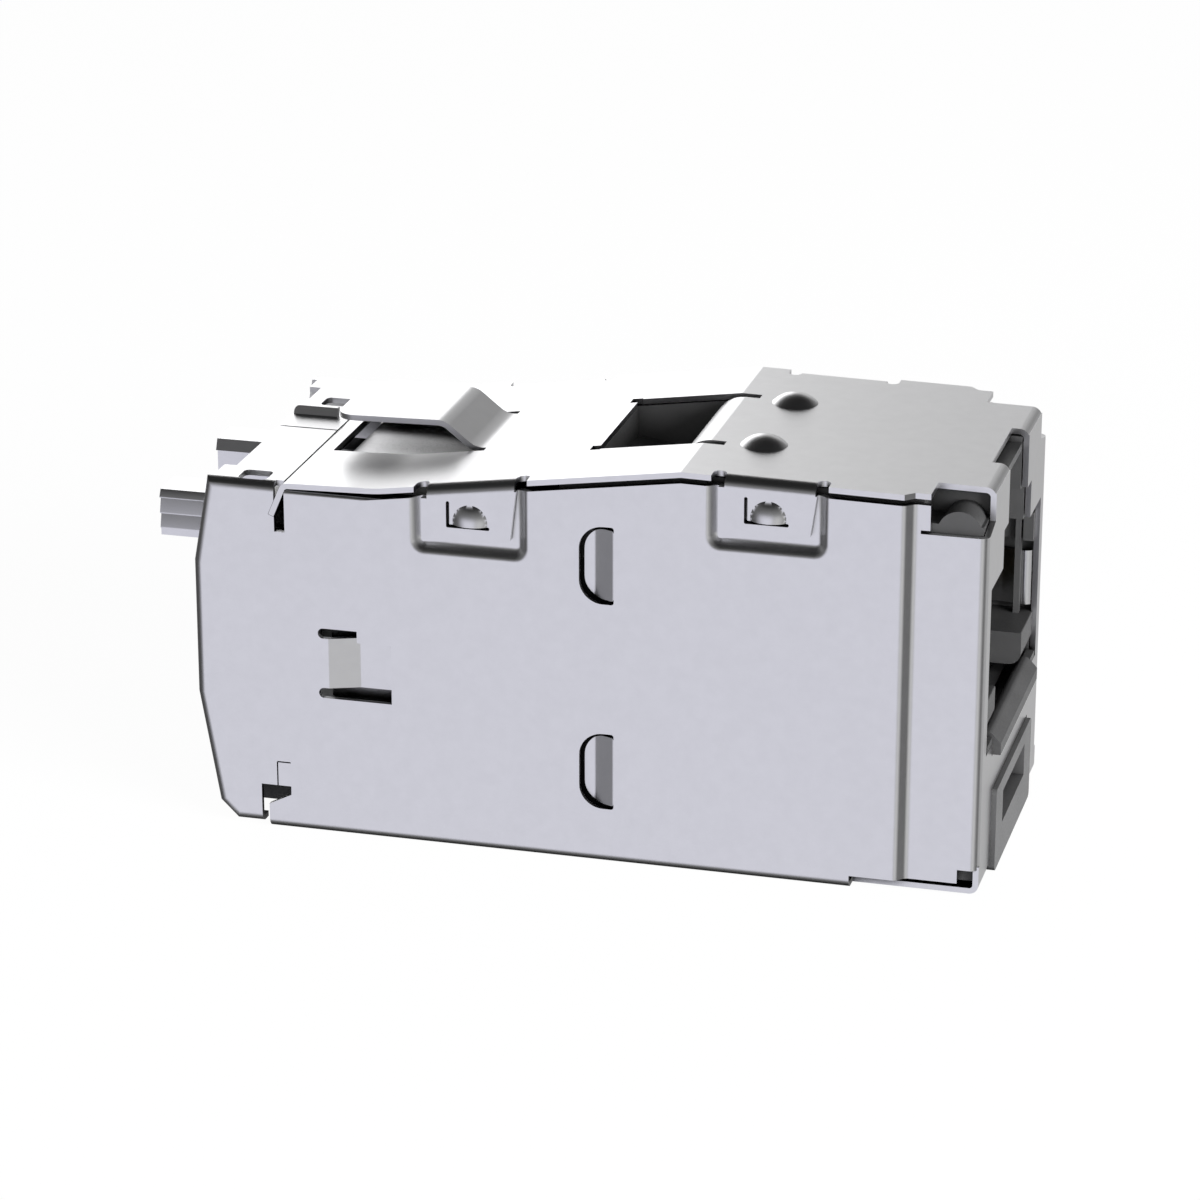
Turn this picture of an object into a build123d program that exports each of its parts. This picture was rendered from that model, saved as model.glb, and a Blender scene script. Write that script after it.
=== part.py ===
from build123d import *
import math
import os

# Shielded modular jack for a keystone panel. Millimetres.
# While it is drawn, +X runs to the plug face, +Y to the far side wall and +Z up. X starts at the rear
# top corner of the side walls, Y in the middle of the jack and Z on the underside of the bottom plate.
# The finished pieces are moved along X, so that the origin ends in the middle of the whole length.

# Sheet metal of the shield
sheet = 0.25
bend = 0.40
slit = 0.12
cut_gap = 0.16

# Body of the shield
body_width = 15.4
face_x = 34.11
front_inset = 0.40
joggle_start = face_x - 3.50
joggle_end = face_x - 3.12
joggle_bend = 0.40
fold_radius = 0.45

# Rear edge of the side walls, as bend points from the top corner down
rear_top_z = 16.10
rear_upper = (-0.70, 12.20)
rear_lower = (-0.71, 6.10)
rear_knee = (0.16, 0.99)
rear_toe_x = 0.98
rear_floor_z = 0.19
rim_depth = 0.80

# Top plate, outer surface
plate_rear_x = 3.47
plate_rear_z = 16.13
knee_rear = (7.70, 16.24)
knee_front = (21.10, 18.15)
plate_front_z = 17.92
plate_gap = 0.25
roll_gap = 0.05
roll_end_x = 8.40
roll_radius = 0.20
tail_drop = 1.45
tail_run = 0.62

# Rear top flange of each side wall, and the slot in front of it
flange_front_x = 3.10
flange_rear_x = 0.80
flange_foot_side = 1.90
rear_slot_x = 3.57
rear_slot_z = 13.90

# Notch at the rear end of the bottom fold
toe_notch = [(2.42, 1.08), (3.57, 1.66), (3.57, 2.06), (2.20, 2.06), (2.20, 1.10)]
toe_gap = (2.20, 2.54)
toe_crack_x = 2.96
toe_crack_z = 3.18

# Bottom plate and the lip folded back from the face
floor_end_x = 28.60
lip_gap = 0.07
lip_z = 0.15
lip_side = 0.15
wall_foot_z = 0.62
lip_rise = 1.30
foot_notch_x = face_x - 0.91
foot_notch_z = 1.25
foot_notch_side = 0.55

# Corner windows at the top front
corner_x = face_x - 2.46
corner_z = 16.20
corner_side = 1.60
corner_rise = 0.28
corner_slit_length = 0.40

# Plug port in the face
port_side = 1.09
port_floor_z = 6.12
port_top_z = 13.60
step_half = 3.42
step_top_z = 15.30
latch_half = 2.42
latch_back_x = face_x - 0.78

# Four ears that fold from the top plate over the side walls
ear_starts = [9.72, 22.71]
ear_feet_z = [14.06, 15.39]
ear_width = 4.22
ear_rise = 0.30
ear_taper = 0.28
ear_gap = 0.04
tail_gap = 0.015
ear_bend = 0.48
relief_width = 0.57
relief_depth = 0.45
relief_rear = 0.30
relief_front = 0.08
pan_margin = 0.57
pan_foot = 0.62
pan_corner = 0.65
pan_depth = sheet + 0.05
dimple_up = 0.88
dimple_radius = 0.77
dimple_height = 0.30
dimple_rise = 0.15
dimple_shifts = [0.07, 0.05]
lance_width = 0.15
lance_left = 0.99
lance_right = 0.93
lance_height = 1.18

# Two lanced windows in each side wall
window_x = (16.69, 18.22)
window_feet_z = [11.94, 2.54]
window_height = 3.48
window_round = 1.05
window_corner = 0.12
window_tab_depth = 0.36
window_tab_edge = 0.02
window_tab_rise = 0.89
window_tab_bend = 0.30

# Pressed bridge tab in each side wall
tab_x = (5.44, 8.28)
tab_z = (6.88, 9.17)
tab_slot = 0.47
tab_slot_rear = 0.47
tab_slope = 1.30
tab_depth = 0.50

# Tongue cut from the top plate, and the window that it leaves
tongue_root_x = 10.68
tongue_half = 2.50
tongue_slope = 1.45
tongue_lift = 1.15
tongue_length = 5.00
tongue_corner = 0.85
tongue_window_x = 4.25
tongue_slot = 0.40
tongue_slot_length = 0.45

# Latch window with its curled flap
latch_window_x = (16.45, 21.35)
latch_window_half = 3.65
latch_slot = 0.50
latch_slot_end = 22.00
latch_notch = (0.35, 0.10)
flap_radius = 1.40
flap_turn = 65.0
flap_drop = 1.00

# Two domes on the front of the top plate
dome_x = 23.60
dome_pitch = 6.10
dome_radius = 1.02
dome_height = 0.45

# Holes and the small lug in the rear flanges
flange_holes = [(1.36, 2.68, -7.36, -6.22), (1.55, 2.90, 3.35, 4.50)]
flange_hole_corner = 0.25
lug_x = (0.82, 2.88)
lug_y = 1.72
lug_height = 0.36
lug_lean = 0.28

# Moulded port housing
side_room = 0.85
housing_back_x = 15.60
housing_neck_x = 21.00
housing_roof_z = 13.60
housing_foot_z = (0.30, 0.62)
housing_top_gap = 0.10
housing_front_gap = 0.05
cavity_back_x = 21.80
cavity_clear = 0.10
cavity_floor_z = 6.20
latch_room_x = 24.50
latch_roof_z = 17.00
latch_strip_z = 17.33
corner_floor_z = 16.55
rib_drop = 0.35
pocket_floor_z = (15.75, 15.25)
pocket_well_x = 19.30
pocket_well_z = 14.30
shelf_out = 0.36
shelf_half = 4.65
shelf_gap = 0.10
shelf_z = (5.60, 6.12)
bead_z = 6.61
bead_x = (face_x - 0.56, face_x - 0.09)
bead_radius = 0.28
channel_length = 0.50
channel_z = 5.80
shelf_lug_y = (4.85, 5.95)
shelf_lug_z = 6.45
cheek_z = (6.70, 8.20)
cheek_half = 3.30
cheek_length = 2.80
cheek_round = 0.55
cheek_x = face_x - 0.19
pillar_x = (face_x - 1.01, face_x - 0.75)
stop_x = (face_x - 0.66, face_x - 0.21)
stop_z = (11.65, 12.97)
pillar_out = 0.31
rib_radius = 0.95
frame_half = 4.42
frame_out = 0.22
frame_z = (0.05, 3.87)
frame_body_z = 1.20
frame_corner = 0.25
frame_slot_half = 2.75
frame_slot_z = (1.73, 3.20)
frame_slot_depth = 2.60
frame_fit = 0.05
frame_depth = 3.20

# Eight spring contacts and the comb under them
contact_count = 8
contact_pitch = 1.02
contact_width = 0.45
contact_thick = 0.30
contact_front_x = 32.00
contact_bend_z = 5.30
contact_tip_x = 23.60
contact_tip_z = 8.50
comb_top_z = 6.10
comb_foot_z = 4.70
comb_gap = 0.05

# Side ground springs in the port
ground_length = 4.60
ground_front_x = face_x - 0.38
ground_z = (8.50, 11.05)
ground_thick = 0.20
ground_room = 0.50
ground_rise = 0.21
ground_ramp = 1.00
ground_tip = 0.12
ground_tip_run = 0.22
ground_gap_z = (0.30, 0.58)

# Circuit board
board_x = (19.30, 20.30)
board_side = 0.40
board_z = (1.20, 13.20)

# Terminal block and its eight forked terminals
block_x = (13.20, 19.25)
block_side = 0.50
block_z = (1.30, 13.40)
fork_pitch = 2.90
fork_width = 2.00
fork_thick = 0.40
fork_slot = 0.36
fork_rows_z = (4.00, 10.70)
fork_mouth_x = 13.80
fork_well = 0.10
wire_slot = 1.40
wire_slot_depth = 4.40
fork_pin = 0.70
fork_pin_out = 0.40
hollow_z = (5.90, 8.80)

# Wire manager inside the rear cap
manager_x = (6.90, 13.10)
manager_clear = 0.10
manager_bore = 6.60
manager_depth = 3.60
channel_radius = 0.65
channel_lean = 0.92

# Die-cast rear cap with its two ridged arms
cap_x = (5.30, 12.90)
cap_wall = 1.00
cap_top_z = 15.60
cap_foot_z = 0.55
cap_rear_wall = 1.20
cap_lip = (0.68, 1.00)
cap_corner = 0.60
cable_bore = 7.60
cable_z = 8.00
arm_end_x = -3.10
arm_y = (2.62, 4.62)
arm_shift = -0.40
arm_z = (12.30, 14.40)
ridge_step = 0.17
ridge_heights = [0.36, 0.72, 0.68]
ridge_lip = 0.06
arm_band = (0.22, 0.50)

# Cable cradle on the bottom plate
cradle_x = (0.90, 5.20)
cradle_side = 1.00
cradle_z = (0.30, 5.60)
cradle_rib = 0.30
cradle_rib_count = 4
toe_clear = 2.0

body_half = body_width / 2
front_half = body_half - front_inset
inner_half = body_half - side_room
flange_foot_y = body_half - flange_foot_side
lip_half = front_half - lip_side
foot_notch_y = front_half - foot_notch_side
corner_half = front_half - corner_side
port_half = front_half - port_side
board_half = inner_half - board_side
block_half = inner_half - block_side
cradle_half = inner_half - cradle_side
rear_top = (0.0, rear_top_z)
shelf_x = face_x + shelf_out
middle_x = (shelf_x + arm_end_x) / 2
BIG = 60.0


def block(x, y, z):
    """A box between the two limits given along each axis."""
    size = (x[1] - x[0], y[1] - y[0], z[1] - z[0])
    centre = ((x[0] + x[1]) / 2, (y[0] + y[1]) / 2, (z[0] + z[1]) / 2)
    return Pos(*centre) * Box(*size)


def outline(points, radii=0.0):
    """A flat face inside a closed outline of straight runs with rounded corners."""
    if isinstance(radii, (int, float)) and radii == 0:
        return make_face(Polyline(*points, close=True))
    return make_face(FilletPolyline(*points, radius=radii, close=True))


def side_slab(face, y0, y1):
    """A face drawn in X and Z, run from y0 to y1."""
    return extrude(Plane.XZ.offset(-y1) * face, amount=y1 - y0)


def front_slab(face, x0, x1):
    """A face drawn in Y and Z, run from x0 to x1."""
    return extrude(Plane.YZ.offset(x0) * face, amount=x1 - x0)


def plan_slab(face, z0, z1):
    """A face drawn in X and Y, run from z0 to z1."""
    return extrude(Plane.XY.offset(z0) * face, amount=z1 - z0)


def band(points, radii, thick, side):
    """A bent strip: an open path with rounded corners, thickened to one side of its direction."""
    path = FilletPolyline(*points, radius=radii)
    return make_face(offset(path, amount=thick, side=side, closed=True))


def both_sides(piece):
    """A piece on the near side and its mirror image on the far side."""
    return [piece, mirror(piece, about=Plane.XZ)]


def plate_height(x):
    """Height of the top plate's outer surface at a distance along the jack."""
    if x <= knee_rear[0]:
        run = (plate_rear_x, plate_rear_z), knee_rear
    elif x <= knee_front[0]:
        run = knee_rear, knee_front
    else:
        run = knee_front, (face_x, plate_front_z)
    (x0, z0), (x1, z1) = run
    return z0 + (z1 - z0) * (x - x0) / (x1 - x0)


def under_plate(x, gap):
    """A point at a gap below the underside of the top plate."""
    return (x, plate_height(x) - sheet - gap)


def wall_outline():
    """Side view of the walls before windows and recesses are cut."""
    return outline(
        [
            rear_top,
            rear_upper,
            rear_lower,
            rear_knee,
            (rear_toe_x, rear_floor_z),
            (toe_gap[0], rear_floor_z),
            (toe_gap[0], 0),
            (floor_end_x, 0),
            (floor_end_x, wall_foot_z),
            (face_x + sheet, wall_foot_z),
            under_plate(face_x + sheet, 0),
            under_plate(corner_x, 0),
            under_plate(corner_x, plate_gap),
            under_plate(knee_front[0], plate_gap),
            under_plate(roll_end_x, plate_gap),
            under_plate(rear_slot_x, roll_gap),
            (rear_slot_x, rear_slot_z),
            (flange_front_x, rear_slot_z),
            (flange_front_x, rear_top_z),
        ]
    )


def wall_band():
    """Plan of both walls with the face between them, as one bent strip."""
    points = [
        (rear_upper[0] - 1, body_half),
        (joggle_start, body_half),
        (joggle_end, front_half),
        (face_x, front_half),
        (face_x, -front_half),
        (joggle_end, -front_half),
        (joggle_start, -body_half),
        (rear_upper[0] - 1, -body_half),
    ]
    radii = [joggle_bend, joggle_bend, bend, bend, joggle_bend, joggle_bend]
    return band(points, radii, sheet, Side.RIGHT)


def folded_edges():
    """Rear rims, rear top flanges and bottom plates, folded inwards from both walls."""
    whole = wall_outline()
    ring = whole - offset(whole, amount=-sheet)
    rear_face = ring & outline([(-2, 0.1), (toe_gap[0], 0.1), (toe_gap[0], 2), (-2, rear_top_z - 1)])
    rear_face += ring & outline([(-2, 1.5), (1.0, 1.5), (flange_rear_x, 20), (-2, 20)])
    rims = side_slab(rear_face, -body_half, -body_half + rim_depth)
    flange = block(
        (flange_rear_x, flange_front_x), (-body_half, -slit / 2), (rear_top_z - sheet, rear_top_z)
    )
    foot = block(
        (sheet, flange_rear_x + sheet), (-body_half, -flange_foot_y), (rear_top_z - sheet, rear_top_z)
    )
    floor = block((toe_gap[1], floor_end_x), (-body_half, -slit / 2), (0, sheet))
    return rims + flange + foot + floor


def is_folded_edge(edge):
    """Whether an edge on the near wall's outer plane is one of its folded edges."""
    middle = edge @ 0.5
    if abs(middle.Y + body_half) > 1e-4 or edge.length < 0.3:
        return False
    ends = (edge @ 0, edge @ 1)
    if any(abs(end.Y + body_half) > 1e-4 for end in ends):
        return False
    on_floor = abs(middle.Z) < 1e-4 and middle.X > toe_gap[1]
    on_toe = abs(middle.Z - rear_floor_z) < 1e-4
    on_top = abs(middle.Z - rear_top_z) < 1e-4
    on_rear = middle.X < rear_toe_x and rear_floor_z < middle.Z < rear_top_z
    return on_floor or on_toe or on_top or on_rear


def is_rolled_edge(edge):
    """Whether an edge is the outer top edge of the near wall behind the rear ear."""
    middle = edge @ 0.5
    on_wall = abs(middle.Y + body_half) < 1e-4
    behind_ear = rear_slot_x + 0.5 < middle.X < roll_end_x
    return on_wall and behind_ear and middle.Z > rear_slot_z + 1


def near_wall():
    """The near side wall with its folded edges, from the rear to the start of the joggle."""
    side = side_slab(wall_outline(), -body_half, -body_half + sheet)
    side &= block((-BIG, joggle_start - 1), (-BIG, 0), (-BIG, BIG))
    solid = side + folded_edges()
    solid -= side_slab(outline(toe_notch), -body_half - 1, -body_half + rim_depth + 0.1)
    solid -= block(toe_gap, (-body_half - 1, 0), (-1, toe_notch[0][1] + 0.05))
    edges = [edge for edge in solid.edges() if is_folded_edge(edge)]
    solid = fillet(edges, fold_radius)
    rolled = [edge for edge in solid.edges() if is_rolled_edge(edge)]
    solid = fillet(rolled, roll_radius)
    solid += block(
        (flange_front_x - sheet, plate_rear_x),
        (-body_half + 2 * bend, -slit / 2),
        (rear_top_z - sheet, rear_top_z),
    )
    solid += block(
        (flange_front_x - sheet, plate_rear_x),
        (-body_half + fold_radius, -body_half + 3 * bend),
        (rear_top_z - sheet, rear_top_z),
    )
    crack_x = toe_crack_x - slit / 4, toe_crack_x + slit / 4
    crack_z = toe_crack_z - slit / 4, toe_crack_z + slit / 4
    crack = block(crack_x, (-BIG, 0), (toe_notch[3][1], toe_crack_z))
    crack += block((toe_crack_x, toe_notch[1][0]), (-BIG, 0), crack_z)
    return solid - (crack & block((-BIG, BIG), (-body_half, -body_half + sheet), (0, BIG)))


def top_plate():
    """The top plate with its rear tail and the bend down to the face."""
    points = [
        *tail_points(),
        knee_rear,
        knee_front,
        (face_x, plate_front_z),
        (face_x, step_top_z - 0.5),
    ]
    side = band(points, [bend, 8.0, 0.5, bend + 0.05], sheet, Side.RIGHT)
    plate = side_slab(side, -body_half, body_half)
    plan = outline(
        [
            (plate_rear_x - 2, -body_half),
            (joggle_start, -body_half),
            (joggle_end, -front_half),
            (corner_x, -front_half),
            (corner_x, -corner_half),
            (face_x + 1, -corner_half),
            (face_x + 1, corner_half),
            (corner_x, corner_half),
            (corner_x, front_half),
            (joggle_end, front_half),
            (joggle_start, body_half),
            (plate_rear_x - 2, body_half),
        ]
    )
    return plate & plan_slab(plan, 0, BIG)


def face_openings():
    """What is cut from the face and the bend above it: port, latch slot and lower window."""
    shelf_room = shelf_half + shelf_gap
    port = [
        (-port_half, port_floor_z),
        (-shelf_room, port_floor_z),
        (-shelf_room, shelf_z[0] - frame_fit),
        (shelf_room, shelf_z[0] - frame_fit),
        (shelf_room, port_floor_z),
        (port_half, port_floor_z),
        (port_half, port_top_z),
        (step_half, port_top_z),
        (step_half, step_top_z),
        (-step_half, step_top_z),
        (-step_half, port_top_z),
        (-port_half, port_top_z),
    ]
    cut = front_slab(outline(port), face_x - 1, face_x + 1)
    cut += block((latch_back_x, face_x + 1), (-latch_half, latch_half), (step_top_z - 1, BIG))
    cut += block(
        (face_x - 0.6, face_x + 1),
        (-frame_half - frame_fit, frame_half + frame_fit),
        (-1, frame_z[1] + frame_fit),
    )
    return cut


def recess(start, foot, grow, y_shift):
    """Pressed recess under an ear: a dish with a rounded rim and a rounded foot, open at the top."""
    turn = 2 * math.atan(pan_depth / pan_margin)
    arc = pan_margin / (2 * math.sin(turn))
    rim = [(arc * math.sin(a), arc * (1 - math.cos(a))) for a in (0, turn / 2, turn)]
    foot_arc = [(pan_margin - run, pan_depth - depth) for run, depth in reversed(rim[:-1])]
    left = start - pan_margin
    right = start + ear_width + pan_margin
    y0 = -body_half + y_shift
    sections = []
    for run, depth in rim + foot_arc:
        side = run - grow
        low = foot - pan_foot + side * pan_foot / pan_margin
        corners = [(left + side, low), (right - side, low), (right - side, BIG / 2), (left + side, BIG / 2)]
        radius = pan_corner - side
        shape = outline(corners, [radius, radius, 0.1, 0.1])
        sections.append(Plane.XZ.offset(-y0 - depth) * shape)
    return loft(sections, ruled=True)


def ear_shape(start, foot):
    """Side view of an ear, narrower at its foot than at the top plate."""
    end = start + ear_width
    return outline(
        [
            (start, foot),
            (end - ear_taper, foot + ear_rise),
            (end, plate_height(end) - bend),
            (end, BIG / 2),
            (start, BIG / 2),
        ],
        [0.12, 0.12, 0.1, 0.1, 0.1],
    )


def ear(start, foot, shift):
    """One near-side ear, folded from the top plate down over the wall, with its lanced dimple."""
    end = start + ear_width
    slope = math.atan2(plate_height(end) - plate_height(start), end - start)
    first = start - ear_width / 2
    base = Plane(
        origin=(first, 0, plate_height(start) - (start - first) * math.tan(slope)),
        x_dir=(0, 1, 0),
        z_dir=(math.cos(slope), 0, math.sin(slope)),
    )
    points = [(-body_half + 2 * bend, 0), (-body_half, 0), (-body_half, -BIG / 6)]
    folded = extrude(base * band(points, [ear_bend], sheet, Side.LEFT), amount=2 * ear_width)
    shaped = folded & side_slab(ear_shape(start, foot), -BIG, 0)
    centre_x = start + ear_width / 2
    slit_z = foot + dimple_up
    y0 = -body_half
    shaped -= lance(centre_x, slit_z)
    ball = (dimple_radius**2 + dimple_height**2) / (2 * dimple_height)
    centre = Pos(centre_x + shift, y0 - dimple_height + ball, slit_z + dimple_rise)
    above = block((-BIG, BIG), (-BIG, y0 + sheet / 2), (slit_z, BIG))
    bulge = centre * Sphere(ball) & above
    hollow = centre * Sphere(ball - sheet) & (Pos(0, sheet, 0) * above)
    return shaped + bulge - hollow


def lance(x, z):
    """The narrow slit beside and under a dimple, with rounded ends."""
    half = lance_width / 2
    left = x - lance_left + half
    right = x + lance_right - half
    top = z - lance_width + lance_height - half
    path = Polyline((left, top), (left, z - half), (right, z - half))
    face = make_face(offset(path, amount=half, closed=True))
    return side_slab(face, -body_half - 1, -body_half + sheet + slit)


def window_outline(gap):
    """Outline of a lanced window, or of the tab inside it when a gap is given."""
    low = window_feet_z[0] + gap
    high = window_feet_z[0] + window_height - gap
    left = window_x[0] + gap
    rounded = window_round - gap / 2
    return outline(
        [(left, low), (window_x[1], low), (window_x[1], high), (left, high)],
        [rounded, window_corner, window_corner, rounded],
    )


def window_tab():
    """The tab of the upper window, bent inwards from the window's front edge."""
    right = window_x[1] - window_tab_edge
    y0 = -body_half
    points = [
        (right + bend, y0),
        (right, y0),
        (right - window_tab_rise, y0 + window_tab_depth),
        (window_x[0] - 1, y0 + window_tab_depth),
    ]
    bends = [window_tab_bend, window_tab_bend]
    solid = plan_slab(band(points, bends, sheet, Side.RIGHT), 0, BIG / 2)
    return solid & side_slab(window_outline(cut_gap), -BIG, 0)


def bridge_tab():
    """The pressed tab between its two slots, sloping inwards towards the front."""
    y0 = -body_half
    points = [
        (tab_x[0] - 0.3, y0),
        (tab_x[0], y0),
        (tab_x[0] + tab_slope, y0 + tab_depth),
        (tab_x[1] - slit, y0 + tab_depth),
    ]
    strip = plan_slab(band(points, [0.1, 0.1], sheet, Side.LEFT), *tab_z)
    roof = block(
        (tab_x[0] + tab_slope, tab_x[1]),
        (y0, y0 + tab_depth + sheet),
        (tab_z[1] - slit / 2, tab_z[1] + sheet),
    )
    return strip + roof


def bridge_cut():
    """What is removed from the wall for the bridge tab and its two slots."""
    y = (-body_half - 1, -body_half + sheet + 0.01)
    cut = block((tab_x[0], tab_x[1]), y, (tab_z[0] - 0.01, tab_z[1] + 0.01))
    for z0, front in ((tab_z[0] - tab_slot, tab_x[1]), (tab_z[1], tab_x[0] + tab_slope)):
        start = tab_x[0] - tab_slot_rear + tab_slot / 2
        cut += block((start, front), y, (z0, z0 + tab_slot))
        end = Pos(start, y[0], z0 + tab_slot / 2) * Rot(X=-90) * Cylinder(
            tab_slot / 2, y[1] - y[0], align=(Align.CENTER, Align.CENTER, Align.MIN)
        )
        cut += end
    return cut


def tongue():
    """The springy tongue, rising from the top plate and running back over its window."""
    root = (tongue_root_x, plate_height(tongue_root_x))
    crest = (root[0] - tongue_slope, root[1] + tongue_lift)
    tip = (crest[0] - tongue_length, crest[1] - 0.12)
    lead = (root[0] + 1.4, plate_height(root[0] + 1.4))
    strip = band([lead, root, crest, tip], [1.0, 0.9], sheet, Side.LEFT)
    solid = side_slab(strip, -tongue_half, tongue_half)
    plan = outline(
        [
            (tip[0], -tongue_half),
            (lead[0], -tongue_half),
            (lead[0], tongue_half),
            (tip[0], tongue_half),
        ],
        [tongue_corner, 0.01, 0.01, tongue_corner],
    )
    return solid & plan_slab(plan, 0, BIG)


def tongue_window():
    """Opening under the tongue with the two relief slots beside its root."""
    half = tongue_half + tongue_slot
    cut = block((tongue_window_x, tongue_root_x), (-half, half), (14, BIG))
    slot_x = tongue_root_x - 0.1, tongue_root_x + tongue_slot_length
    for y0 in (-half, tongue_half):
        cut += block(slot_x, (y0, y0 + tongue_slot), (14, BIG))
    return cut


def latch_window():
    """Opening in the top plate with two slots beside the flap and two corner notches."""
    half = latch_window_half
    cut = block(latch_window_x, (-half, half), (15, BIG))
    for side in (-1, 1):
        slot_y = sorted((side * half, side * (half - latch_slot)))
        cut += block((latch_window_x[1] - 0.1, latch_slot_end), slot_y, (15, BIG))
        notch_y = sorted((side * (half - latch_slot), side * (half + latch_notch[1])))
        cut += block((latch_window_x[0] - latch_notch[0], latch_window_x[0] + slit), notch_y, (15, BIG))
    return cut


def latch_flap():
    """The flap at the front of the latch window, curled down into the jack."""
    start = latch_window_x[1]
    lead = start + bend
    turn = math.radians(flap_turn)
    root = start - flap_radius * math.tan(turn / 2)
    points = [
        (lead, plate_height(lead)),
        (root, plate_height(lead)),
        (root - flap_drop / math.tan(turn), plate_height(lead) - flap_drop),
    ]
    strip = band(points, [flap_radius], sheet, Side.LEFT)
    half = latch_window_half - latch_slot
    return side_slab(strip, -half, half)


def dome(y):
    """One raised dome on the front of the top plate."""
    top = plate_height(dome_x)
    ball = (dome_radius**2 + dome_height**2) / (2 * dome_height)
    centre = Pos(dome_x, y, top - ball + dome_height)
    skin = centre * Sphere(ball) - centre * Sphere(ball - sheet)
    return skin & block((-BIG, BIG), (-BIG, BIG), (top - sheet + 0.02, BIG))


def dome_hole(y):
    """The hollow of a dome, cut through the plate from below."""
    ball = (dome_radius**2 + dome_height**2) / (2 * dome_height)
    top = plate_height(dome_x)
    return Pos(dome_x, y, top - ball + dome_height) * Sphere(ball - sheet)


def lip():
    """The lip folded back from the foot of the face."""
    points = [
        (face_x, lip_rise + 0.1),
        (face_x, lip_z),
        (floor_end_x + lip_gap, lip_z),
    ]
    return side_slab(band(points, [bend], sheet, Side.RIGHT), -lip_half, lip_half)


def rear_lug():
    """The small lug bent up from the far rear flange."""
    foot = rear_top_z
    section = outline(
        [
            (lug_y, foot - sheet),
            (lug_y + sheet, foot - sheet),
            (lug_y + sheet + lug_lean, foot + lug_height),
            (lug_y + lug_lean, foot + lug_height),
        ]
    )
    slab = front_slab(section, *lug_x)
    side = outline(
        [
            (lug_x[0], foot - sheet),
            (lug_x[1], foot - sheet),
            (lug_x[1], foot + lug_height),
            (lug_x[0], foot + lug_height),
        ],
        [0.01, 0.01, 0.05, 0.25],
    )
    return slab & side_slab(side, -BIG, BIG)


def top_with_ears():
    """The top plate with its windows, relief notches, ears, tongue, flap and domes."""
    plate = top_plate() - tongue_window() - latch_window()
    y0 = -body_half
    for start in ear_starts:
        end = start + ear_width
        for side in both_sides(block((start, end), (y0 - 1, y0 + 2 * bend), (10, BIG))):
            plate -= side
    for start, foot, shift in zip(ear_starts, ear_feet_z, dimple_shifts):
        for side in both_sides(ear(start, foot, shift)):
            plate += side
    for start in ear_starts:
        for x0 in (start - relief_rear, start + ear_width - relief_front):
            low = plate_height(x0) - ear_bend
            cut = block((x0, x0 + relief_width), (y0 - 1, y0 + relief_depth), (low, BIG))
            cut += Pos(x0 + relief_width / 2, y0 + relief_depth, low) * Cylinder(
                relief_width / 2, BIG, align=(Align.CENTER, Align.CENTER, Align.MIN)
            )
            for side in both_sides(cut):
                plate -= side
    plate += tongue()
    plate += latch_flap()
    for y in (-dome_pitch / 2, dome_pitch / 2):
        plate -= dome_hole(y)
        plate += dome(y)
    return plate


def front_walls():
    """The joggled front of both side walls with the face between them."""
    strip = plan_slab(wall_band(), 0, BIG / 2) & side_slab(wall_outline(), -BIG, BIG)
    strip &= block((joggle_start - 1, BIG), (-BIG, BIG), (-BIG, BIG))
    corner = [
        (-BIG, corner_z),
        (-front_half + bend, corner_z),
        (-corner_half, corner_z + corner_rise),
        (-corner_half, BIG),
        (-BIG, BIG),
    ]
    cut = front_slab(outline(corner), corner_x, BIG)
    cut += block((corner_x - corner_slit_length, corner_x), (-BIG, 0), (corner_z, corner_z + cut_gap))
    for side in both_sides(cut):
        strip -= side
    for notch in both_sides(block((foot_notch_x, BIG), (-BIG, -foot_notch_y), (-1, foot_notch_z))):
        strip -= notch
    return strip


def pressed_wall():
    """The near side wall with its recesses, lanced windows and bridge tab."""
    wall = near_wall()
    profile = side_slab(wall_outline(), -BIG, 0)
    y0 = -body_half
    for start, foot in zip(ear_starts, ear_feet_z):
        wall += recess(start, foot, 0.10, sheet) & profile
        wall -= recess(start, foot, 0, 0)
        wall -= Pos(0, -sheet, 0) * recess(start, foot, 0, 0)
    lanced = side_slab(window_outline(0), y0 - 1, y0 + 1)
    tab = window_tab()
    for low in window_feet_z:
        drop = Pos(0, 0, low - window_feet_z[0])
        wall -= drop * lanced
        wall += drop * tab
    wall -= bridge_cut()
    wall += bridge_tab()
    return wall


def tail_room():
    """The room that the tail of the top plate has in the walls."""
    tail = band([*tail_points(), (plate_rear_x + 0.6, plate_rear_z)], [bend], sheet, Side.RIGHT)
    return side_slab(offset(tail, amount=tail_gap), -BIG, BIG)


def tail_points():
    """The rear end of the top plate, from the tip of its tail to the top edge."""
    return [(plate_rear_x - tail_run, plate_rear_z - tail_drop), (plate_rear_x, plate_rear_z)]


def shield_shell():
    """The folded sheet shield as one piece."""
    shell = front_walls()
    for wall in both_sides(pressed_wall()):
        shell += wall
    shell += lip()
    shell -= tail_room()
    shell += top_with_ears()
    shell -= face_openings()
    shell += rear_lug()
    for x0, x1, y0, y1 in flange_holes:
        hole = outline([(x0, y0), (x1, y0), (x1, y1), (x0, y1)], flange_hole_corner)
        shell -= plan_slab(hole, rear_top_z - 2 * sheet, BIG)
    return shell


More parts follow.
